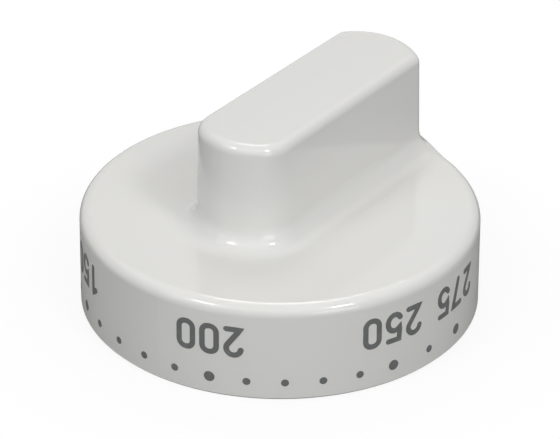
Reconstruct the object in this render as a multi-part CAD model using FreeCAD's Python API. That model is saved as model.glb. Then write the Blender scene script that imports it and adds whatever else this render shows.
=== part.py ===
import FreeCAD, Part
import math
import os

# Oven temperature knob: one white moulding with a leaf spring in its shaft socket.
# A drafted skirt and a flat face carry a bar-shaped grip. The grip's short end is rounded and stands on
# the face behind the shaft. Its long end, the pointer, is a blunt nose that runs out to the skirt's edge.
# The moulding is hollow from below: inside are the hub with its D-shaped socket, four ribs that tie the
# hub to the skirt, and the pocket that cores out the grip, with a web across it.
#
# Frame, in millimetres: the origin is the centre of the skirt's open rim, which faces the oven's panel.
# +Z runs along the shaft to the user, and +Y points from the shaft to the pointer end of the grip.

Vector = FreeCAD.Vector

# Skirt and face; the radius is that of the open rim
SKIRT_RADIUS = 25.0
SKIRT_HEIGHT = 12.8
SKIRT_DRAFT = 0.5
SKIRT_WALL = 2.0
FACE_WALL = 2.2
FACE_EDGE_ROUND = 1.5
RIM_CHAMFER = 0.3

# Grip: half its width beside the shaft and its short end are measured at its top, and its nose at its foot,
# where the nose stays just inside the face's edge. In plan both ends are arcs that are a little wider than
# the half width, and the short end's corners have a share of it
GRIP_RISE = 13.9
GRIP_HALF_WIDTH = 6.25
GRIP_REACH = 12.1
GRIP_TAPER = 0.2
GRIP_DRAFT = 1.3
GRIP_END_EXTRA = 0.95
GRIP_CORNER_SHARE = 0.8
NOSE_EXTRA = 3.15
NOSE_SETBACK = 0.6
NOSE_CORNER_RADIUS = 1.5
GRIP_CROWN = 0.35
GRIP_TOP_ROUND = 1.3
GRIP_ROOT_ROUND = 3.0

# Hollow under the face and the pocket in the grip
CAVITY_DRAFT = 1.0
GRIP_WALL = 2.2
POCKET_CHAMFER = 0.6
WEB_THICKNESS = 1.4

# Shaft that the socket takes
SHAFT_RADIUS = 3.0
SHAFT_ACROSS_FLAT = 4.6
SHAFT_CLEARANCE = 0.04
LEAD_IN_CLEARANCE = 0.25
FLAT_CLEARANCE = 0.1

# Hub, socket and ribs
HUB_RECESS = 1.5
HUB_DRAFT = 0.5
SOCKET_DEPTH = 18.5
LEAD_IN_LENGTH = 5.5
MOUTH_CHAMFER = 0.4
RIB_THICKNESS = 1.4
RIB_COUNT = 4
RIB_HUB_RECESS = 4.0
RIB_SKIRT_RECESS = 6.0

# Leaf spring, and the hub's wall that it clips over; each half of the bow takes a share of the D's length
STRIP_THICKNESS = 0.4
STRIP_WIDTH = 3.2
STRIP_GAP = 0.1
CLIP_WALL = 1.5
PAD_MARGIN = 0.4
OUTER_LEG_LENGTH = 5.0
BEND_COVER = 0.4
BOW_SHARE = 0.54
BOW_PRELOAD = 0.1
TIP_GAP = 0.2

# Cutting shapes run this far past the surface that they cut
MARGIN = 2.0

# Heights and radii that follow from the sizes above
TOP_Z = SKIRT_HEIGHT + GRIP_RISE
FACE_RADIUS = SKIRT_RADIUS - SKIRT_HEIGHT * math.tan(math.radians(SKIRT_DRAFT))
GRIP_END_RADIUS = GRIP_HALF_WIDTH + GRIP_END_EXTRA
GRIP_CORNER_RADIUS = GRIP_CORNER_SHARE * GRIP_HALF_WIDTH
NOSE_RADIUS = GRIP_HALF_WIDTH + NOSE_EXTRA
NOSE_CENTRE_Y = FACE_RADIUS - NOSE_SETBACK - NOSE_RADIUS
FACE_UNDERSIDE_Z = SKIRT_HEIGHT - FACE_WALL
POCKET_ROOF_Z = TOP_Z - GRIP_CROWN - GRIP_WALL
CAVITY_RADIUS = SKIRT_RADIUS - SKIRT_WALL
BORE_RADIUS = SHAFT_RADIUS + SHAFT_CLEARANCE
LEAD_IN_RADIUS = SHAFT_RADIUS + LEAD_IN_CLEARANCE
MOUTH_Z = HUB_RECESS
LEAD_IN_Z = MOUTH_Z + LEAD_IN_LENGTH
SOCKET_TOP_Z = MOUTH_Z + SOCKET_DEPTH
BOW_LENGTH = BOW_SHARE * (SOCKET_TOP_Z - LEAD_IN_Z)

# Places of the socket's flat, of the slot in it, and of the pad outside, all on the hub's -Y side
SHAFT_FLAT_Y = SHAFT_RADIUS - SHAFT_ACROSS_FLAT
SOCKET_FLAT_Y = SHAFT_FLAT_Y - FLAT_CLEARANCE
SLOT_FLOOR_Y = -(LEAD_IN_RADIUS + STRIP_GAP + STRIP_THICKNESS)
SLOT_HALF_WIDTH = STRIP_WIDTH / 2 + STRIP_GAP
PAD_Y = SLOT_FLOOR_Y - CLIP_WALL
HUB_RADIUS = math.hypot(PAD_Y, SLOT_HALF_WIDTH + PAD_MARGIN)
BEND_RADIUS = CLIP_WALL / 2
NOTCH_Z = MOUTH_Z + BEND_COVER + STRIP_THICKNESS + BEND_RADIUS


def slope(degrees):
    """Sideways run of a drafted or tapered wall for each millimetre along it."""
    return math.tan(math.radians(degrees))


def block(x_range, y_range, z_range):
    """Box between pairs of lowest and highest coordinates."""
    corner = Vector(x_range[0], y_range[0], z_range[0])
    sizes = [high - low for low, high in (x_range, y_range, z_range)]
    return Part.makeBox(sizes[0], sizes[1], sizes[2], corner)


def drafted_cone(z_range, radius, at_z, draft, centre_y=0.0):
    """Upright cone that narrows upward by its draft and has the given radius at one height.

    Its seam is turned to -Y, away from the pointer end.
    """
    low_z, high_z = z_range
    low_radius = radius + (at_z - low_z) * slope(draft)
    high_radius = radius + (at_z - high_z) * slope(draft)
    cone = Part.makeCone(low_radius, high_radius, high_z - low_z)
    cone.rotate(Vector(0, 0, 0), Vector(0, 0, 1), -90)
    cone.translate(Vector(0, centre_y, low_z))
    return cone


def side_cutter(inset):
    """Block that cuts the bar's +X side: its face leans by the grip's draft and turns by its taper."""
    reach = 4 * SKIRT_RADIUS
    cutter = block((0, reach), (-reach, reach), (-reach, reach))
    cutter.rotate(Vector(0, 0, 0), Vector(0, 1, 0), -GRIP_DRAFT)
    cutter.rotate(Vector(0, 0, 0), Vector(0, 0, 1), GRIP_TAPER)
    cutter.translate(Vector(GRIP_HALF_WIDTH - inset, 0, TOP_Z))
    return cutter


def upright_corners(bar, side):
    """Upright edges where one end of the bar meets its long sides: 1 for the nose, -1 for the short end."""

    def is_corner(edge):
        box = edge.BoundBox
        upright = box.ZLength > GRIP_RISE / 2
        return upright and side * box.Center.y > 0 and abs(box.Center.x) > GRIP_HALF_WIDTH / 3

    return [edge for edge in bar.Edges if is_corner(edge)]


def grip_bar(top_z, inset):
    """Bar with the grip's drafted sides and its two curved ends, all moved inwards by the inset."""
    reach = 2 * SKIRT_RADIUS
    z_range = (0, top_z)
    short_end_y = GRIP_END_RADIUS - GRIP_REACH
    short_end = drafted_cone(z_range, GRIP_END_RADIUS - inset, TOP_Z, GRIP_DRAFT, short_end_y)
    nose = drafted_cone(z_range, NOSE_RADIUS - inset, SKIRT_HEIGHT, GRIP_DRAFT, NOSE_CENTRE_Y)
    nose.rotate(Vector(0, NOSE_CENTRE_Y, 0), Vector(0, 0, 1), 180)
    middle = block((-reach, reach), (short_end_y, NOSE_CENTRE_Y), z_range)
    right_side = side_cutter(inset)
    left_side = right_side.mirror(Vector(0, 0, 0), Vector(1, 0, 0))
    return middle.fuse(short_end).fuse(nose).cut(right_side).cut(left_side)


def round_corners(bar):
    """Bar with its four upright corners rounded: softly at the short end, tightly at the nose."""
    bar = bar.makeFillet(GRIP_CORNER_RADIUS, upright_corners(bar, -1))
    return bar.makeFillet(NOSE_CORNER_RADIUS, upright_corners(bar, 1))


def crown():
    """Long cylinder along the grip, whose upper side gives the top its slight crown."""
    radius = (GRIP_HALF_WIDTH ** 2 + GRIP_CROWN ** 2) / (2 * GRIP_CROWN)
    length = 2 * (SKIRT_RADIUS + MARGIN)
    cylinder = Part.makeCylinder(radius, length, Vector(0, -length / 2, 0), Vector(0, 1, 0))
    cylinder.rotate(Vector(0, 0, 0), Vector(0, 1, 0), 180)
    cylinder.translate(Vector(0, 0, TOP_Z - radius))
    return cylinder


def plate_and_bar(plate_top_z, bar):
    """Bar on a plate that is wider than the skirt."""
    reach = 2 * SKIRT_RADIUS
    plate = block((-reach, reach), (-reach, reach), (-MARGIN, plate_top_z))
    return plate.fuse(bar)


def round_foot(solid):
    """Round the bar's foot on the plate, all round the bar."""

    def at_foot(edge):
        box = edge.BoundBox
        level = box.ZLength < 0.01 and abs(box.ZMin - SKIRT_HEIGHT) < 0.01
        return level and box.DiagonalLength < 2 * SKIRT_RADIUS

    return solid.makeFillet(GRIP_ROOT_ROUND, [edge for edge in solid.Edges if at_foot(edge)])


def round_outline(solid, envelope):
    """Round the edge where the face and the bar's foot end at the envelope's cone."""
    conical = [face for face in envelope.Faces if isinstance(face.Surface, Part.Cone)][0]

    def at_outline(edge):
        middle = edge.valueAt((edge.FirstParameter + edge.LastParameter) / 2)
        on_cone = conical.distToShape(Part.Vertex(middle))[0] < 0.01
        return on_cone and edge.BoundBox.ZMin > SKIRT_HEIGHT - 0.01

    return solid.makeFillet(FACE_EDGE_ROUND, [edge for edge in solid.Edges if at_outline(edge)])


def top_edges(solid):
    return max(solid.Faces, key=lambda face: face.CenterOfMass.z).Edges


def outer_form():
    """The moulding seen from outside, still filled.

    The bar's foot is rounded on a plate wider than the skirt, so that the skirt's cone can then trim both:
    the round runs out into the skirt beside the nose.
    """
    envelope = drafted_cone((0, TOP_Z + MARGIN), SKIRT_RADIUS, 0, SKIRT_DRAFT)
    bar = round_corners(grip_bar(TOP_Z + MARGIN, 0)).common(crown())
    wide_form = round_foot(plate_and_bar(SKIRT_HEIGHT, bar))
    form = round_outline(wide_form.common(envelope).Solids[0], envelope)
    return form.makeFillet(GRIP_TOP_ROUND, top_edges(form))


def cavity():
    """Space under the face with the pocket that rises from it into the grip."""
    envelope = drafted_cone((-MARGIN, TOP_Z), CAVITY_RADIUS, 0, CAVITY_DRAFT)
    pocket = grip_bar(POCKET_ROOF_Z, GRIP_WALL)
    space = plate_and_bar(FACE_UNDERSIDE_Z, pocket).common(envelope).Solids[0]
    return space.makeChamfer(POCKET_CHAMFER, top_edges(space))


def hub():
    """Post around the socket, with a flat pad on its -Y side for the spring's outer leg."""
    reach = HUB_RADIUS * 2
    top_z = POCKET_ROOF_Z + MARGIN
    post = drafted_cone((MOUTH_Z, top_z), HUB_RADIUS, MOUTH_Z, -HUB_DRAFT)
    beyond_pad = block((-reach, reach), (-reach, PAD_Y), (0, top_z))
    return post.cut(beyond_pad)


def rib(angle):
    """Upright plate from the hub to the skirt whose lower edge slopes up to the skirt."""
    outer_x = SKIRT_RADIUS - SKIRT_WALL / 2
    corners = [
        Vector(0, 0, RIB_HUB_RECESS),
        Vector(outer_x, 0, RIB_SKIRT_RECESS),
        Vector(outer_x, 0, FACE_UNDERSIDE_Z + FACE_WALL / 2),
        Vector(0, 0, FACE_UNDERSIDE_Z + FACE_WALL / 2),
    ]
    side = Part.Face(Part.makePolygon(corners + corners[:1]))
    side.translate(Vector(0, -RIB_THICKNESS / 2, 0))
    plate = side.extrude(Vector(0, RIB_THICKNESS, 0))
    plate.rotate(Vector(0, 0, 0), Vector(0, 0, 1), angle)
    return plate


def grip_web():
    """Plate across the grip's pocket, halfway between the hub and the pointer end."""
    middle_y = (HUB_RADIUS + CAVITY_RADIUS) / 2
    y_range = (middle_y - WEB_THICKNESS / 2, middle_y + WEB_THICKNESS / 2)
    reach = GRIP_HALF_WIDTH
    return block((-reach, reach), y_range, (FACE_UNDERSIDE_Z, TOP_Z))


def shaft_socket():
    """D-shaped bore behind a wider round lead-in with a chamfered mouth."""
    start = Vector(0, 0, MOUTH_Z)
    full_bore = Part.makeCylinder(BORE_RADIUS, SOCKET_DEPTH, start)
    reach = 2 * BORE_RADIUS
    flat = block((-reach, reach), (-reach, SOCKET_FLAT_Y), (LEAD_IN_Z, SOCKET_TOP_Z + MARGIN))
    lead_in = Part.makeCylinder(LEAD_IN_RADIUS, LEAD_IN_LENGTH, start)
    mouth = Part.makeCone(LEAD_IN_RADIUS + MOUTH_CHAMFER, LEAD_IN_RADIUS, MOUTH_CHAMFER, start)
    return full_bore.cut(flat).fuse(lead_in).fuse(mouth)


def spring_slot():
    """Slot for the spring's inner leg, and the notch in the hub's end for its bend."""
    x_range = (-SLOT_HALF_WIDTH, SLOT_HALF_WIDTH)
    slot = block(x_range, (SLOT_FLOOR_Y, 0), (MOUTH_Z, SOCKET_TOP_Z))
    notch = block(x_range, (PAD_Y - MARGIN, 0), (MOUTH_Z - MARGIN, NOTCH_Z))
    return slot.fuse(notch)


def knob_body():
    standing = hub().fuse(grip_web())
    for index in range(RIB_COUNT):
        standing = standing.fuse(rib((index + 0.5) * 360 / RIB_COUNT))
    hollow = cavity().cut(standing)
    body = outer_form().cut(hollow).cut(shaft_socket()).cut(spring_slot())
    body = body.removeSplitter().Solids[0]
    rim = [edge for edge in body.Edges if edge.BoundBox.ZMax < 0.01]
    return body.makeChamfer(RIM_CHAMFER, rim).Solids[0]


def strip_path():
    """Side of the spring strip that faces the hub's wall, as a wire in the YZ plane.

    It runs down the pad, around the wall's end, up the slot's floor, and over a bow to the tip.
    """
    crest_y = SHAFT_FLAT_Y + BOW_PRELOAD - STRIP_THICKNESS
    rise = crest_y - SLOT_FLOOR_Y
    half_rise = rise / 2
    half_length = BOW_LENGTH / 2
    bow_radius = (half_length ** 2 + half_rise ** 2) / rise
    lean = math.asin(half_length / bow_radius)
    arc_side = bow_radius * (1 - math.cos(lean / 2))
    arc_run = bow_radius * math.sin(lean / 2)
    start_z = LEAD_IN_Z
    crest_z = start_z + BOW_LENGTH
    turn_y = SLOT_FLOOR_Y + half_rise
    tip_y = SLOT_FLOOR_Y + TIP_GAP
    tip_z = crest_z + half_length + (turn_y - tip_y) / math.tan(lean)

    def point(y, z):
        return Vector(0, y, z)

    outer_end = point(PAD_Y, NOTCH_Z + OUTER_LEG_LENGTH)
    outer_foot = point(PAD_Y, NOTCH_Z)
    bend_bottom = point(PAD_Y + BEND_RADIUS, NOTCH_Z - BEND_RADIUS)
    inner_foot = point(SLOT_FLOOR_Y, NOTCH_Z)
    bow_start = point(SLOT_FLOOR_Y, start_z)
    past_start = point(SLOT_FLOOR_Y + arc_side, start_z + arc_run)
    rise_turn = point(turn_y, crest_z - half_length)
    before_crest = point(crest_y - arc_side, crest_z - arc_run)
    crest = point(crest_y, crest_z)
    after_crest = point(crest_y - arc_side, crest_z + arc_run)
    fall_turn = point(turn_y, crest_z + half_length)
    tip = point(tip_y, tip_z)
    return Part.Wire([
        Part.LineSegment(outer_end, outer_foot).toShape(),
        Part.Arc(outer_foot, bend_bottom, inner_foot).toShape(),
        Part.LineSegment(inner_foot, bow_start).toShape(),
        Part.Arc(bow_start, past_start, rise_turn).toShape(),
        Part.Arc(rise_turn, before_crest, crest).toShape(),
        Part.Arc(crest, after_crest, fall_turn).toShape(),
        Part.LineSegment(fall_turn, tip).toShape(),
    ])


def shaft_spring():
    """Spring-steel strip bent like a hairpin; its bow presses on the shaft's flat."""
    section = strip_path().makeOffset2D(STRIP_THICKNESS, 0, True, True, False)
    section.translate(Vector(-STRIP_WIDTH / 2, 0, 0))
    return section.extrude(Vector(STRIP_WIDTH, 0, 0))


os.makedirs("parts", exist_ok=True)
for name, shape in (("knob_body", knob_body()), ("shaft_spring", shaft_spring())):
    box = shape.BoundBox
    print(name, shape.ShapeType, shape.isValid(), round(shape.Volume, 1), "mm3", box)
    shape.exportStep("parts/" + name + ".step")
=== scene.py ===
# %% [markdown]
# # A white oven knob, dressed and lit
#
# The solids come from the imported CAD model: one glossy moulding and the small leaf spring in its socket.
# Their shapes stay as they are. What is added here is what a solid can't carry: the finish of the plastic
# and of the steel, and the temperature dial that is printed round the skirt. All lengths are in metres, in
# the frame of the CAD: +Z up the shaft, +Y to the pointer end of the grip.

# %% Load the frame
import bpy
import math
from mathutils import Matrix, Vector


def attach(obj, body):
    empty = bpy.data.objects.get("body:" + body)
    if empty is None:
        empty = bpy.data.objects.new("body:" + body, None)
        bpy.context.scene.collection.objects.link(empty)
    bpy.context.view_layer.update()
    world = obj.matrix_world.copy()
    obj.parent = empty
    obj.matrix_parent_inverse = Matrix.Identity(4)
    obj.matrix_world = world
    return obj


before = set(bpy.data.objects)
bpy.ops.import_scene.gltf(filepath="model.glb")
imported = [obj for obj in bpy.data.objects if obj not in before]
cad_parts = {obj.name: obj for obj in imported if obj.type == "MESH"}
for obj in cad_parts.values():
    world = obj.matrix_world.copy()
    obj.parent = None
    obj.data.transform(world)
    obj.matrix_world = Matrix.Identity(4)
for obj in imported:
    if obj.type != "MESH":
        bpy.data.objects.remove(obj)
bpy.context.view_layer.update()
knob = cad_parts["knob_body"]
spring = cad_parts["shaft_spring"]
MM = 0.001

# %% [markdown]
# ## The view
#
# The knob was photographed from above its side with a long lens, so its upright edges stay nearly parallel.
# A camera is easiest to read when it is placed by angles round the object: how far round, how high, how far
# off. The lens is then the one that makes the knob as large as it is in the picture.

# %% Camera
VIEW_AZIMUTH = math.radians(35.5)
VIEW_ELEVATION = math.radians(30.05)
VIEW_ROLL = math.radians(0.3)
VIEW_DISTANCE = 0.378
VIEW_LENS = 195.2
VIEW_STARTS = 0.01
AIM = Vector((0, 0, 0.01043))


def direction(azimuth, elevation):
    """Unit vector from the knob; the azimuth counts counter-clockwise from the grip's short end."""
    level = math.cos(elevation)
    return Vector((math.sin(azimuth) * level, -math.cos(azimuth) * level, math.sin(elevation)))


def face_towards(thing, place, target):
    """Put a camera or a lamp at a place and turn it to the target."""
    thing.location = place
    thing.rotation_euler = (target - place).to_track_quat("-Z", "Y").to_euler()


camera = bpy.data.objects.new("camera", bpy.data.cameras.new("camera"))
bpy.context.scene.collection.objects.link(camera)
camera.data.lens = VIEW_LENS
camera.data.clip_start = VIEW_STARTS
face_towards(camera, AIM + direction(VIEW_AZIMUTH, VIEW_ELEVATION) * VIEW_DISTANCE, AIM)
camera.rotation_euler.rotate_axis("Z", VIEW_ROLL)
bpy.context.scene.camera = camera
bpy.context.scene.view_settings.view_transform = "Standard"
print("camera at", [round(v, 3) for v in camera.location])

# %% [markdown]
# ## Helpers for node trees
#
# Materials and Geometry Nodes are both graphs. Small helpers keep the building of them readable: one adds a
# node and fills its inputs by name, one does sums, and one makes a group with named sockets. A value that is
# a socket is linked, and any other value is written into the input.

# %% Node helpers
def add(tree, kind, settings=None, **inputs):
    """Add a node and fill it in.

    Settings are the node's properties. Inputs are named as its sockets, with _ for a blank, or n0, n1 and
    so on for a socket's number.
    """
    node = tree.nodes.new(kind)
    for name, value in (settings or {}).items():
        setattr(node, name, value)
    for name, value in inputs.items():
        key = int(name[1:]) if name[0] == "n" and name[1:].isdigit() else name.replace("_", " ")
        if isinstance(value, bpy.types.NodeSocket):
            tree.links.new(value, node.inputs[key])
        else:
            node.inputs[key].default_value = value
    return node


def math_node(tree, operation, *values):
    """A Math node's result; each value is a number or a socket."""
    inputs = {f"n{index}": value for index, value in enumerate(values)}
    return add(tree, "ShaderNodeMath", {"operation": operation}, **inputs).outputs[0]


def new_tree(name, kind, inputs, outputs):
    """Group tree with named sockets; returns it with its input node's and its output node's sockets."""
    tree = bpy.data.node_groups.new(name, kind)
    for label, socket_kind, default in inputs:
        socket = tree.interface.new_socket(label, in_out="INPUT", socket_type=socket_kind)
        if default is not None:
            socket.default_value = default
    for label, socket_kind in outputs:
        tree.interface.new_socket(label, in_out="OUTPUT", socket_type=socket_kind)
    start = tree.nodes.new("NodeGroupInput").outputs
    end = tree.nodes.new("NodeGroupOutput").inputs
    return tree, start, end


print("node helpers ready")

# %% [markdown]
# ## Small marks that every finish shares
#
# No moulding or strip of steel is perfectly even. Light handling leaves fine rubs, and the surface itself
# has a slight waviness. The plastic, its print and the steel all show this at different sizes, so it is one
# group with named inputs. It gives a mask and a height, and each material decides what to do with them.

# %% Surface group
FLOAT = "NodeSocketFloat"
VECTOR = "NodeSocketVector"
RUBS_BEGIN, RUBS_FULL = 0.52, 0.72
surface, given, result = new_tree(
    "fine_surface",
    "ShaderNodeTree",
    [("Vector", VECTOR, None), ("Grain Size", FLOAT, 0.4 * MM), ("Rub Size", FLOAT, 4 * MM)],
    [("Rubs", FLOAT), ("Height", FLOAT)],
)
grain_scale = math_node(surface, "DIVIDE", 1.0, given["Grain Size"])
rub_scale = math_node(surface, "DIVIDE", 1.0, given["Rub Size"])
place = given["Vector"]
grain = add(surface, "ShaderNodeTexNoise", Vector=place, Scale=grain_scale, Detail=3.0)
broad = add(surface, "ShaderNodeTexNoise", Vector=place, Scale=rub_scale, Detail=6.0, Roughness=0.7)
rubs = add(
    surface, "ShaderNodeMapRange", Value=broad.outputs["Fac"], From_Min=RUBS_BEGIN, From_Max=RUBS_FULL
)
surface.links.new(rubs.outputs["Result"], result["Rubs"])
surface.links.new(grain.outputs["Fac"], result["Height"])
print("group", surface.name, "with", len(surface.nodes), "nodes")

# %% [markdown]
# ## Helpers for materials
#
# Each finish here is told in the same words: two tones and what mixes them, a range of roughness, and a bump
# with a depth. A helper for each of them keeps the materials as short as a recipe. All patterns are laid out
# on Object coordinates, so they have a real size and stay put on the part.

# %% Material helpers
def new_material(name):
    """Empty node material with its Principled shader and a source of Object coordinates."""
    material = bpy.data.materials.new(name)
    material.use_nodes = True
    tree = material.node_tree
    shader = tree.nodes["Principled BSDF"]
    place = tree.nodes.new("ShaderNodeTexCoord").outputs["Object"]
    return material, tree, shader, place


def use_surface(tree, vector, grain_size, rub_size):
    """Place the shared group; returns its mask of rubs and its height."""
    group = add(
        tree, "ShaderNodeGroup", {"node_tree": surface},
        Vector=vector, Grain_Size=grain_size, Rub_Size=rub_size,
    )
    return group.outputs["Rubs"], group.outputs["Height"]


def two_tones(tree, factor, first, second):
    """Colour between two tones; a factor of 0 gives the first."""
    return add(tree, "ShaderNodeMix", {"data_type": "RGBA"}, Factor=factor, n6=first, n7=second).outputs[2]


def ramp(tree, value, low, high):
    """Value from 0 to 1 turned into a range."""
    return add(tree, "ShaderNodeMapRange", Value=value, To_Min=low, To_Max=high).outputs["Result"]


def bump(tree, height, depth):
    """Normal from a height; the depth is in metres."""
    return add(tree, "ShaderNodeBump", Height=height, Distance=depth, Strength=1.0).outputs["Normal"]


def dress(tree, shader, colour, roughness, normal):
    """Link what changes over the surface to the shader."""
    for label, socket in (("Base Color", colour), ("Roughness", roughness), ("Normal", normal)):
        tree.links.new(socket, shader.inputs[label])


print("material helpers ready")

# %% [markdown]
# ## Glossy white plastic
#
# The knob is moulded in one go from a hard, glossy white plastic. Real white is never pure: it leans slightly
# to warm, and its tone drifts a little where the melt flowed. A wide noise mixes two near whites. The gloss
# is broken only by faint rubs, and a very low bump stands for the mould's polish.

# %% White plastic
WHITE_COOL = (0.775, 0.775, 0.765, 1)
WHITE_WARM = (0.80, 0.785, 0.755, 1)
FLOW_SCALE = 60.0
PLASTIC_ROUGHNESS = (0.09, 0.16)
POLISH_DEPTH = 0.004 * MM
PLASTIC_IOR = 1.5
plastic, tree, shader, place = new_material("glossy_white_plastic")
flow = add(tree, "ShaderNodeTexNoise", Vector=place, Scale=FLOW_SCALE, Detail=2.0)
rubs, height = use_surface(tree, place, grain_size=0.6 * MM, rub_size=6 * MM)
colour = two_tones(tree, flow.outputs["Fac"], WHITE_COOL, WHITE_WARM)
dress(tree, shader, colour, ramp(tree, rubs, *PLASTIC_ROUGHNESS), bump(tree, height, POLISH_DEPTH))
shader.inputs["IOR"].default_value = PLASTIC_IOR
knob.material_slots[0].material = plastic
print("knob_body wears", plastic.name)

# %% [markdown]
# ## Cold-rolled spring steel
#
# The leaf spring is cut from thin rolled strip. Rolling draws the surface into fine lines along the strip,
# which here runs mostly up and down. A noise squeezed across the strip and stretched along it gives those
# lines; they change the roughness and tilt the surface a little, and rubs darken them in places.

# %% Spring steel
STEEL_LIGHT = (0.62, 0.61, 0.59, 1)
STEEL_DARK = (0.48, 0.47, 0.45, 1)
SQUEEZE = (30.0, 3.0, 1.0)
LINE_SCALE = 400.0
STEEL_ROUGHNESS = (0.22, 0.42)
LINE_DEPTH = 0.003 * MM
steel, tree, shader, place = new_material("rolled_spring_steel")
squeezed = add(tree, "ShaderNodeMapping", Vector=place, Scale=SQUEEZE).outputs["Vector"]
lines = add(tree, "ShaderNodeTexNoise", Vector=squeezed, Scale=LINE_SCALE, Detail=4.0).outputs["Fac"]
rubs, _ = use_surface(tree, place, grain_size=0.3 * MM, rub_size=2 * MM)
colour = two_tones(tree, math_node(tree, "MULTIPLY", lines, rubs), STEEL_LIGHT, STEEL_DARK)
dress(tree, shader, colour, ramp(tree, lines, *STEEL_ROUGHNESS), bump(tree, lines, LINE_DEPTH))
shader.inputs["Metallic"].default_value = 1.0
spring.material_slots[0].material = steel
print("shaft_spring wears", steel.name)

# %% [markdown]
# ## Dark grey print
#
# The dial is pad-printed: a soft pad lays a thin film of matt ink on the curved skirt. The film is dark grey,
# covers a little unevenly, and is duller than the plastic.

# %% Ink
INK_FULL = (0.145, 0.15, 0.15, 1)
INK_THIN = (0.2, 0.205, 0.205, 1)
INK_ROUGHNESS = (0.45, 0.65)
INK_DEPTH = 0.005 * MM
ink, tree, shader, place = new_material("dark_grey_ink")
rubs, height = use_surface(tree, place, grain_size=0.25 * MM, rub_size=1.2 * MM)
colour = two_tones(tree, rubs, INK_FULL, INK_THIN)
dress(tree, shader, colour, ramp(tree, height, *INK_ROUGHNESS), bump(tree, height, INK_DEPTH))
print("the print uses", ink.name)

# %% [markdown]
# ## The dial's layout
#
# The scale runs at an even pitch round the skirt, counter-clockwise seen from above. Numbers stand every
# fifty degrees and at the end, and their feet point to the face, so they read the right way up from the
# oven's front. It is simplest to lay the print out flat first: u is the arc length round the open rim from
# the pointer, v the height above the rim. One rule turns a temperature into an angle, and so into u.

# %% Layout
RIM_RADIUS = 25.0 * MM
SKIRT_SLOPE = math.tan(math.radians(0.5))
DEGREES_AT_200 = 196.0
DEGREES_PER_CELSIUS = 1.055
DOT_HEIGHT = 2.47 * MM
LARGE_DOT = 0.68 * MM
SMALL_DOT = 0.48 * MM
FILM_SINK = 0.02 * MM
FILM_THICKNESS = 0.05 * MM


def dial_angle(celsius):
    """Angle round the skirt from the pointer, in degrees."""
    return DEGREES_AT_200 + (celsius - 200) * DEGREES_PER_CELSIUS


print("50 sits at", round(dial_angle(50), 1), "and 275 at", round(dial_angle(275), 1), "degrees")

# %% [markdown]
# ## Laying a flat film on the skirt
#
# Every printed mark needs the same last step: the flat sheet gets its small thickness and is bent round the
# cone. Geometry Nodes do this for any number of marks at once. The group closes the sheet into a thin solid,
# and then moves each point from its flat place to its place on the cone: u becomes an angle, v a height, and
# the third coordinate lifts off the surface. The film is sunk slightly, so that no gap shows under it.

# %% Wrapping group
GEOMETRY = "NodeSocketGeometry"
GEOMETRY_IN = [("Geometry", GEOMETRY, None)]
GEOMETRY_OUT = [("Geometry", GEOMETRY)]
FILM_INPUTS = [
    ("Rim Radius", FLOAT, RIM_RADIUS),
    ("Slope", FLOAT, SKIRT_SLOPE),
    ("Sink", FLOAT, FILM_SINK),
    ("Thickness", FLOAT, FILM_THICKNESS),
]
SAME_POINT = 0.001 * MM
wrap, given, result = new_tree(
    "lay_film_on_cone", "GeometryNodeTree", GEOMETRY_IN + FILM_INPUTS, GEOMETRY_OUT
)
raised = add(wrap, "GeometryNodeExtrudeMesh", Mesh=given["Geometry"], Offset_Scale=given["Thickness"])
raised.inputs["Individual"].default_value = False
underside = add(wrap, "GeometryNodeFlipFaces", Mesh=given["Geometry"])
both = wrap.nodes.new("GeometryNodeJoinGeometry")
wrap.links.new(raised.outputs["Mesh"], both.inputs[0])
wrap.links.new(underside.outputs["Mesh"], both.inputs[0])
closed = add(wrap, "GeometryNodeMergeByDistance", Geometry=both.outputs[0], Distance=SAME_POINT)
flat = add(wrap, "ShaderNodeSeparateXYZ", Vector=wrap.nodes.new("GeometryNodeInputPosition").outputs[0])
angle = math_node(wrap, "DIVIDE", flat.outputs["X"], given["Rim Radius"])
drawn_in = math_node(wrap, "MULTIPLY", flat.outputs["Y"], given["Slope"])
lift = math_node(wrap, "SUBTRACT", flat.outputs["Z"], given["Sink"])
radius = math_node(wrap, "ADD", math_node(wrap, "SUBTRACT", given["Rim Radius"], drawn_in), lift)
left = math_node(wrap, "MULTIPLY", math_node(wrap, "SINE", angle), radius)
wrapped = add(
    wrap,
    "ShaderNodeCombineXYZ",
    X=math_node(wrap, "MULTIPLY", left, -1.0),
    Y=math_node(wrap, "MULTIPLY", math_node(wrap, "COSINE", angle), radius),
    Z=flat.outputs["Y"],
)
bent = add(wrap, "GeometryNodeSetPosition", Geometry=closed.outputs[0], Position=wrapped.outputs[0])
wrap.links.new(bent.outputs[0], result["Geometry"])
print("group", wrap.name, "with", len(wrap.nodes), "nodes")

# %% [markdown]
# ## Ending a print tree, and keeping its mesh
#
# Dots and numbers share the end of their trees: wrap, make the instances real, set the ink. A modifier's
# inputs are set by the socket's identifier, so a helper looks that up by the name. The evaluated result is
# then copied into a plain mesh, and the modifier goes.

# %% Print helpers
def lay_and_ink(tree, given, result, flat_print):
    """Last nodes of a print tree: from the flat print to the inked film on the skirt."""
    film = add(tree, "GeometryNodeGroup", {"node_tree": wrap}, Geometry=flat_print)
    for label, _, _ in FILM_INPUTS:
        tree.links.new(given[label], film.inputs[label])
    real = add(tree, "GeometryNodeRealizeInstances", Geometry=film.outputs[0])
    inked = add(tree, "GeometryNodeSetMaterial", Geometry=real.outputs[0], Material=given["Ink"])
    tree.links.new(inked.outputs[0], result["Geometry"])


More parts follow.
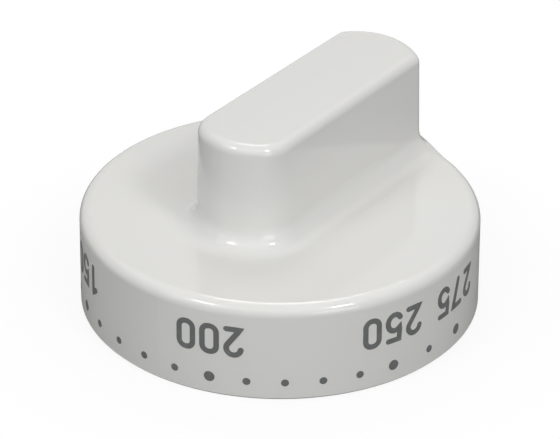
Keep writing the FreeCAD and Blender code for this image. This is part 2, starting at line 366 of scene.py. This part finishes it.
def run_tree(name, mesh, tree, values):
    """Plain object from a Geometry Nodes tree run on a mesh."""
    piece = bpy.data.objects.new(name, mesh)
    bpy.context.scene.collection.objects.link(piece)
    modifier = piece.modifiers.new("shape", "NODES")
    modifier.node_group = tree
    for item in tree.interface.items_tree:
        if item.in_out == "INPUT" and item.name in values:
            modifier[item.identifier] = values[item.name]
    graph = bpy.context.evaluated_depsgraph_get()
    finished = bpy.data.meshes.new_from_object(piece.evaluated_get(graph), depsgraph=graph)
    piece.modifiers.clear()
    piece.data = finished
    finished.name = name
    print(name, len(finished.polygons), "faces")
    return piece


print("inputs of the film:", [label for label, _, _ in FILM_INPUTS])

# %% [markdown]
# ## The dots
#
# A small dot stands at every tenth degree and a large one at every number, so the dots come in groups: four
# small ones, then a gap for the large one. The tree makes one point for each dot, works out its angle from
# its index, the dots in a group and the two steps, puts a disc on it and wraps the lot.

# %% Tree for the dots
INK_INPUT = ("Ink", "NodeSocketMaterial", None)
DOT_INPUTS = [
    ("Count", "NodeSocketInt", 1),
    ("In Group", "NodeSocketInt", 1),
    ("First Angle", FLOAT, 0.0),
    ("Step", FLOAT, 0.0),
    ("Group Step", FLOAT, 0.0),
    ("Dot Radius", FLOAT, LARGE_DOT),
    ("Height", FLOAT, DOT_HEIGHT),
    INK_INPUT,
]
DISC_CORNERS = 28
dots, given, result = new_tree(
    "dial_dots", "GeometryNodeTree", GEOMETRY_IN + DOT_INPUTS + FILM_INPUTS, GEOMETRY_OUT
)
index = dots.nodes.new("GeometryNodeInputIndex").outputs[0]
group_number = math_node(dots, "FLOOR", math_node(dots, "DIVIDE", index, given["In Group"]))
passed = math_node(dots, "MULTIPLY", group_number, given["In Group"])
in_group = math_node(dots, "SUBTRACT", index, passed)
turn = math_node(dots, "MULTIPLY_ADD", in_group, given["Step"], given["First Angle"])
turn = math_node(dots, "MULTIPLY_ADD", group_number, given["Group Step"], turn)
arc = math_node(dots, "MULTIPLY", math_node(dots, "RADIANS", turn), given["Rim Radius"])
spot = add(dots, "ShaderNodeCombineXYZ", X=arc, Y=given["Height"])
points = add(dots, "GeometryNodePoints", Count=given["Count"], Position=spot.outputs[0])
disc = add(
    dots, "GeometryNodeMeshCircle", {"fill_type": "NGON"}, Vertices=DISC_CORNERS, Radius=given["Dot Radius"]
)
placed = add(dots, "GeometryNodeInstanceOnPoints", Points=points.outputs[0], Instance=disc.outputs[0])
single = add(dots, "GeometryNodeRealizeInstances", Geometry=placed.outputs[0])
lay_and_ink(dots, given, result, single.outputs[0])
print("tree", dots.name, "with", len(dots.nodes), "nodes")

# %% [markdown]
# ## Rows of dots
#
# Sixteen small dots run from 60 to 240 in groups of four, and five large ones stand at 50 to 250. The last
# half step has one small dot in its middle, and 275 has the last large one. A dot that stands alone is a row
# of one, so a single helper makes them all.

# %% Dots
TEN = 10 * DEGREES_PER_CELSIUS
FIFTY = 50 * DEGREES_PER_CELSIUS


def dot_row(name, first_angle, count, in_group, size):
    """Row of dots that starts at an angle of the dial."""
    values = {
        "Count": count,
        "In Group": in_group,
        "First Angle": first_angle,
        "Step": TEN,
        "Group Step": FIFTY,
        "Dot Radius": size,
        "Ink": ink,
    }
    return run_tree(name, bpy.data.meshes.new(name), dots, values)


print_pieces = [
    dot_row("small_dots", dial_angle(60), 16, 4, SMALL_DOT),
    dot_row("large_dots", dial_angle(50), 5, 1, LARGE_DOT),
    dot_row("half_step_dot", dial_angle(262.5), 1, 1, SMALL_DOT),
    dot_row("last_dot", dial_angle(275), 1, 1, LARGE_DOT),
]

# %% [markdown]
# ## The numbers
#
# The numbers are in a narrow sans with an even stroke. Each digit is the centre line of a pen: a few straight
# runs and arcs, given as shares of a box one digit wide and one high. A font would be quicker, but no
# built-in one is this narrow, and a pen line keeps the stroke's width equal everywhere.

# %% Digits as pen lines
DIGIT_WIDTH = 2.5 * MM
DIGIT_HEIGHT = 4.23 * MM
STROKE = 0.70 * MM
RUN_W = DIGIT_WIDTH - STROKE
RUN_H = DIGIT_HEIGHT - STROKE


def arc_points(centre, radii, start, end, steps=12):
    """Points on an ellipse's arc, angles in degrees."""
    turns = [math.radians(start + (end - start) * step / steps) for step in range(steps + 1)]
    return [(centre[0] + radii[0] * math.cos(a), centre[1] + radii[1] * math.sin(a)) for a in turns]


def pen_zero():
    """Upright stadium with slightly flattened ends, made of four quarter turns."""
    radius = RUN_W * 0.46
    low, high = radius, RUN_H - radius
    left, right = radius, RUN_W - radius
    line = []
    for centre, start in (((right, high), 0), ((left, high), 90), ((left, low), 180), ((right, low), 270)):
        line += arc_points(centre, (radius, radius), start, start + 90, 6)
    return line


def pen_one():
    return [(RUN_W * 0.12, RUN_H * 0.80), (RUN_W * 0.62, RUN_H), (RUN_W * 0.62, 0)]


def pen_two():
    radius = RUN_W / 2
    bowl = arc_points((radius, RUN_H - radius), (radius, radius), 172, -38)
    return bowl + [(RUN_W * 0.06, 0), (RUN_W, 0)]


def pen_five():
    radii = (RUN_W * 0.53, RUN_H * 0.315)
    bowl = arc_points((RUN_W * 0.47, radii[1]), radii, 132, -150)
    return [(RUN_W * 0.95, RUN_H), (RUN_W * 0.1, RUN_H), (RUN_W * 0.04, RUN_H * 0.50)] + bowl


def pen_seven():
    return [(0, RUN_H), (RUN_W, RUN_H), (RUN_W * 0.36, 0)]


PENS = {"0": pen_zero, "1": pen_one, "2": pen_two, "5": pen_five, "7": pen_seven}
print("digits", sorted(PENS))

# %% [markdown]
# ## The two sides of a pen line
#
# A ribbon has a point on each side of the line, half a stroke away. At a bend the two points lie on the
# bend's bisector, a little further out, so that the ribbon keeps its width. Long straight runs are divided
# first, because each piece will later have to follow the round skirt.

# %% Sides of a line
LONGEST_RUN = 0.5 * MM
SHARPEST = 1.7


def divided(line):
    """The line with points added on its long runs."""
    points = [Vector(line[0])]
    for start, end in zip(line, line[1:]):
        start, end = Vector(start), Vector(end)
        parts = max(1, math.ceil((end - start).length / LONGEST_RUN))
        points += [start.lerp(end, part / parts) for part in range(1, parts + 1)]
    return points


def side_step(before, here, after):
    """Half a stroke to the left of the line at a point, on the bisector of the bend there."""
    arriving = (here - before).normalized() if before else None
    leaving = (after - here).normalized() if after else None
    along = ((arriving or leaving) + (leaving or arriving)).normalized()
    stretch = 1 / max(along.dot(leaving or arriving), 1 / SHARPEST)
    return Vector((-along.y, along.x)) * (STROKE / 2) * stretch


def both_sides(points, closed):
    """The point to the left and the one to the right of each point of the line, in turn."""
    sides = []
    for number, here in enumerate(points):
        before = points[number - 1] if number or closed else None
        after = points[(number + 1) % len(points)] if number < len(points) - 1 or closed else None
        step = side_step(before, here, after)
        sides += [here + step, here - step]
    return sides


print("a bend moves its two points out by at most", SHARPEST, "times")

# %% [markdown]
# ## From a pen line to a flat ribbon
#
# One face fills each step between the two sides. A closed line, as the zero's, ends where it began. The open
# ends of the other digits get a half disc, as a round pen leaves.

# %% Ribbon
CAP_TURNS = [math.radians(turn) for turn in range(30, 180, 30)]


def round_cap(tip, inner, right_side):
    """Points of the half disc at an open end, from its left side to its right."""
    outward = (tip - inner).normalized()
    across = right_side - tip
    return [tip - across * math.cos(t) + outward * (STROKE / 2) * math.sin(t) for t in CAP_TURNS]


def ribbon(line, closed):
    """Vertices and faces of a flat ribbon along a pen line."""
    points = divided(line + line[:1] if closed else line)
    if closed:
        points = points[:-1]
    last = len(points) - 1
    vertices, faces = both_sides(points, closed), []
    for number in range(len(points) if closed else last):
        a, b = 2 * number, 2 * ((number + 1) % len(points))
        faces.append((a, a + 1, b + 1, b))
    ends = [] if closed else [(0, 1, 0, 1), (last, last - 1, 2 * last + 1, 2 * last)]
    for tip, inner, left_side, right_side in ends:
        cap = round_cap(points[tip], points[inner], vertices[right_side])
        faces.append((left_side, *range(len(vertices), len(vertices) + len(cap)), right_side))
        vertices += cap
    return vertices, faces


print("a seven has", len(ribbon(pen_seven(), False)[1]), "faces")

# %% [markdown]
# ## Setting the numbers
#
# A number is centred over its dot. Its feet point up the skirt, so each digit is turned half round in the
# flat layout: across becomes minus u, and up becomes minus v. A half turn keeps every face pointing outwards.

# %% Flat sheet of all numbers
DIGIT_PITCH = 3.03 * MM
DIGIT_FOOT = 9.85 * MM
NUMBERS = {"0": 0.0}
NUMBERS.update({str(celsius): dial_angle(celsius) for celsius in (50, 100, 150, 200, 250, 275)})
sheet_points, sheet_faces = [], []
for text, degrees in NUMBERS.items():
    middle = math.radians(degrees) * RIM_RADIUS
    whole = DIGIT_PITCH * (len(text) - 1) + DIGIT_WIDTH
    for place_in_row, digit in enumerate(text):
        digit_points, digit_faces = ribbon(PENS[digit](), digit == "0")
        start = place_in_row * DIGIT_PITCH - whole / 2 + STROKE / 2
        first = len(sheet_points)
        sheet_points += [(middle - start - p.x, DIGIT_FOOT - STROKE / 2 - p.y, 0) for p in digit_points]
        sheet_faces += [tuple(first + corner for corner in face) for face in digit_faces]
sheet = bpy.data.meshes.new("numbers_flat")
sheet.from_pydata(sheet_points, [], sheet_faces)
flipped = sum(face.normal.z < 0 for face in sheet.polygons)
print("flat sheet:", len(sheet_faces), "faces, pointing inwards:", flipped)

# %% [markdown]
# ## Printing the numbers
#
# The flat sheet goes through a tree of its own, which only wraps and inks it. The zero's dot stands at the
# pointer, apart from the even scale, so it is placed by its angle alone.

# %% Numbers
numbers_tree, given, result = new_tree(
    "printed_numbers", "GeometryNodeTree", GEOMETRY_IN + [INK_INPUT] + FILM_INPUTS, GEOMETRY_OUT
)
lay_and_ink(numbers_tree, given, result, given["Geometry"])
print_pieces.append(run_tree("dial_numbers", sheet, numbers_tree, {"Ink": ink}))
print_pieces.append(dot_row("zero_dot", NUMBERS["0"], 1, 1, LARGE_DOT))

# %% [markdown]
# ## The print goes with the knob
#
# The film is part of the knob, so every printed piece rides on the same body as the moulding.

# %% Ride
for piece in print_pieces:
    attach(piece, "root")
print("printed pieces:", [piece.name for piece in print_pieces])

# %% [markdown]
# ## The floor
#
# The knob stands on white paper in a picture whose background has gone to white, with only a faint shadow left
# at its foot. A sheet that is lit as white as that would throw light back at the skirt. So Light Path tells
# the rays apart. For rays that carry light, the paper is a mid grey. The camera sees it near white, with a
# small share of its shading close to the knob, and plain white further out. What the gloss mirrors fades
# from the grey paper to white in the same way, further off.

# %% Floor
FLOOR_SIZE = 3.0
FLOOR_DROP = 0.05 * MM
SHADOW_ZONE = 0.026
FADE_END = 0.05
SHADOW_SHARE = 0.12
MIRROR_ZONE = 0.08
MIRROR_END = 0.22
half = FLOOR_SIZE / 2
corners = [(-half, -half, 0), (half, -half, 0), (half, half, 0), (-half, half, 0)]
floor_mesh = bpy.data.meshes.new("floor")
floor_mesh.from_pydata(corners, [], [(0, 1, 2, 3)])
floor = bpy.data.objects.new("floor", floor_mesh)
bpy.context.scene.collection.objects.link(floor)
floor.location.z = -FLOOR_DROP
print("floor", FLOOR_SIZE, "m wide")

# %% [markdown]
# ## White paper
#
# The paper is matt, and its plain white is an emission of strength 1. How much of it shows grows with the
# distance from the knob's middle, in a smooth step, once for the camera's rays and once for the mirrored
# ones. The background behind the floor is swapped in the same way, so one helper does both.

# %% Paper
WHITE = (1, 1, 1, 1)
PAPER_FOR_LIGHT = (0.3, 0.3, 0.3, 1)
PAPER_SEEN = (0.95, 0.95, 0.95, 1)
PAPER_ROUGHNESS = 0.8


def ray_kinds(tree):
    """Two factors: 1 for the camera's rays, and 1 for the rays that are mirrored or pass through."""
    path = tree.nodes.new("ShaderNodeLightPath").outputs
    mirrored = math_node(tree, "MAXIMUM", path["Is Glossy Ray"], path["Is Transmission Ray"])
    return path["Is Camera Ray"], mirrored


def swap_in(tree, factor, usual, shown, output):
    """Show another shader in place of the usual one where the factor is 1."""
    blend = add(tree, "ShaderNodeMixShader", Fac=factor)
    tree.links.new(usual.outputs[0], blend.inputs[1])
    tree.links.new(shown.outputs[0], blend.inputs[2])
    tree.links.new(blend.outputs[0], tree.nodes[output].inputs["Surface"])


def fade_to_white(start, end, white_at_knob):
    """How much plain white the floor shows at this distance from the knob's middle."""
    node = add(
        tree, "ShaderNodeMapRange", {"interpolation_type": "SMOOTHSTEP"},
        Value=distance, From_Min=start, From_Max=end, To_Min=white_at_knob, To_Max=1.0,
    )
    return node.outputs["Result"]


paper, tree, shader, place = new_material("white_paper")
shader.inputs["Roughness"].default_value = PAPER_ROUGHNESS
by_camera, mirrored = ray_kinds(tree)
tree.links.new(two_tones(tree, by_camera, PAPER_FOR_LIGHT, PAPER_SEEN), shader.inputs["Base Color"])
distance = add(tree, "ShaderNodeVectorMath", {"operation": "LENGTH"}, n0=place).outputs["Value"]
for_camera = math_node(tree, "MULTIPLY", by_camera, fade_to_white(SHADOW_ZONE, FADE_END, 1 - SHADOW_SHARE))
for_gloss = math_node(tree, "MULTIPLY", mirrored, fade_to_white(MIRROR_ZONE, MIRROR_END, 0.0))
glow = add(tree, "ShaderNodeEmission", Color=WHITE, Strength=1.0)
swap_in(tree, math_node(tree, "MAXIMUM", for_camera, for_gloss), shader, glow, "Material Output")
floor_mesh.materials.append(paper)
print("the floor wears", paper.name)

# %% [markdown]
# ## Lamps
#
# The light of the picture is broad and even, as in a light tent, so most of it comes from large area lamps:
# one overhead, one in front, one at the left, and one low at the right that lifts the skirt. Broad lamps
# also let the skirt's edge rounding darken evenly, without a hard patch of glare. A narrow strip behind the
# knob draws the thin bright line along the top of that rounding, and two small lamps leave the two bright
# spots at the foot of the grip. Every lamp is placed as the camera is, by angles counted from its side, and
# aims at the knob.

# %% Soft lamps
WARM = (1.0, 0.985, 0.955)
NEUTRAL = (1.0, 1.0, 1.0)
COOL = (0.97, 0.99, 1.0)
COOLER = (0.96, 0.985, 1.0)
# Name, azimuth and elevation in degrees, distance, width and height, power in watts, colour.
LAMPS = [
    ("ceiling", 0, 89, 0.8, (1.6, 1.6), 3.75, WARM),
    ("back_strip", 180, 61, 0.6, (0.2, 0.16), 0.45, WARM),
    ("front_wide", 5, 40, 0.9, (0.8, 0.6), 1.3, NEUTRAL),
    ("left_wide", -52, 35, 0.9, (0.6, 0.6), 1.15, COOL),
    ("low_right", 30, 15, 0.9, (0.4, 0.3), 1.05, COOLER),
    ("small_left", -50, 46, 0.7, (0.13, 0.12), 0.5, NEUTRAL),
    ("small_right", 40, 46, 0.7, (0.12, 0.12), 0.78, NEUTRAL),
]


def soft_lamp(name, azimuth, elevation, distance, size, power, colour):
    """Area lamp that aims at the knob, placed by its angles from the camera's side."""
    lamp = bpy.data.objects.new(name, bpy.data.lights.new(name, "AREA"))
    lamp.data.shape = "RECTANGLE"
    lamp.data.size, lamp.data.size_y = size
    lamp.data.energy = power
    lamp.data.color = colour
    bpy.context.scene.collection.objects.link(lamp)
    turned = VIEW_AZIMUTH + math.radians(azimuth)
    face_towards(lamp, AIM + direction(turned, math.radians(elevation)) * distance, AIM)


for row in LAMPS:
    soft_lamp(*row)
print("lamps:", [row[0] for row in LAMPS])

# %% [markdown]
# ## Sky and background
#
# A weak, slightly cool sky fills the sides that no lamp reaches. The camera and the gloss see plain white in
# its place, at a strength of 1, so the background is white without more light on the knob.

# %% Sky
SKY_COLOUR = (0.93, 0.97, 1.0, 1)
SKY_STRENGTH = 0.14
world = bpy.data.worlds.new("studio")
bpy.context.scene.world = world
world.use_nodes = True
tree = world.node_tree
sky = tree.nodes["Background"]
sky.inputs["Color"].default_value = SKY_COLOUR
sky.inputs["Strength"].default_value = SKY_STRENGTH
white = add(tree, "ShaderNodeBackground", Color=WHITE, Strength=1.0)
swap_in(tree, math_node(tree, "MAXIMUM", *ray_kinds(tree)), sky, white, "World Output")
print("sky at strength", SKY_STRENGTH)
